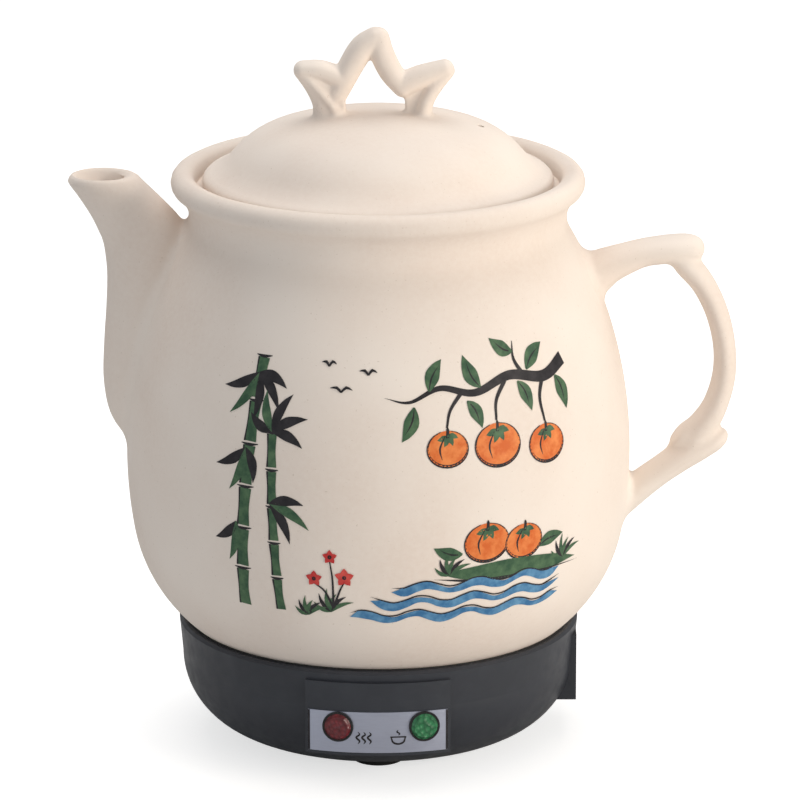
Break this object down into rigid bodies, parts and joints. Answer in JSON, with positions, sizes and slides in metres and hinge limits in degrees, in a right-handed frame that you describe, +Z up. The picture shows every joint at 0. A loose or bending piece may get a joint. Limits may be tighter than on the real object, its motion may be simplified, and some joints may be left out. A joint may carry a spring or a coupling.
{
  "type": "electric herbal medicine pot",
  "caption": "Stoneware simmering pot with spout, side handle and lift-off domed lid, standing in a heated plastic base with pilot lamps and an appliance inlet.",
  "frame": {"origin": "on the jar's vertical axis, in the plane that the feet stand on; the flat middle of the bottom cover lies 2 mm above it", "axes": "+Z up along the jar's axis, +X towards the handle and the inlet, -X towards the spout, -Y towards the front with the panel and lamps"},
  "size_m": [0.2858, 0.216, 0.31],
  "materials": {
    "stoneware": "matt, unglazed",
    "shell_plastic": "fine grained",
    "panel_plate": "satin lacquer",
    "bezel_plastic": "gloss",
    "red_lens": "clear, faceted",
    "green_lens": "clear, faceted",
    "lamp_glass": "clear",
    "rubber": "matt",
    "silicone": "matt",
    "clear_silicone": "satin",
    "inlet_plastic": "matt",
    "pin_brass": "plated",
    "cast_aluminium": "as cast",
    "element_sheath": "dull",
    "stainless": "satin",
    "zinc_steel": "zinc plated",
    "switch_case": "moulded",
    "terminal_plastic": "matt",
    "fuse_sleeve": "woven sleeve",
    "lead_brown": "silicone sleeve",
    "lead_blue": "silicone sleeve",
    "lead_green": "silicone sleeve"
  },
  "bodies": {
    "pot": {"bar_screws": "zinc_steel", "base_housing": "shell_plastic", "boil_thermostat": "switch_case", "bottom_cover": "shell_plastic", "cap_gasket": "clear_silicone", "clamp_nut": "zinc_steel", "clamp_screw": "stainless", "clamp_spacer": "zinc_steel", "clamp_washer": "zinc_steel", "cover_screws": "zinc_steel", "earth_lead": "lead_green", "foot_front": "rubber", "foot_rear_left": "rubber", "foot_rear_right": "rubber", "green_lamp_bezel": "bezel_plastic", "green_lamp_lens": "green_lens", "green_lamp_neon": "lamp_glass", "handle": "stoneware", "heat_reflector": "stainless", "heating_element": "element_sheath", "heating_plate": "cast_aluminium", "inlet_pins": "pin_brass", "inlet_socket": "inlet_plastic", "label_plate": "panel_plate", "lamp_clips": "zinc_steel", "live_lead": "lead_brown", "mounting_bar": "zinc_steel", "neutral_lead": "lead_blue", "pot_body": "stoneware", "pot_seal": "silicone", "red_lamp_bezel": "bezel_plastic", "red_lamp_lens": "red_lens", "red_lamp_neon": "lamp_glass", "spout": "stoneware", "terminal_block": "terminal_plastic", "thermal_fuse": "fuse_sleeve", "warm_thermostat": "switch_case"},
    "lid": {"lid": "stoneware", "lid_knob": "stoneware"}
  },
  "joints": [
    {"name": "lid_lift", "type": "slide", "parent": "pot", "child": "lid", "axis": [0, 0, 1], "range_m": [0, 0.12]}
  ]
}
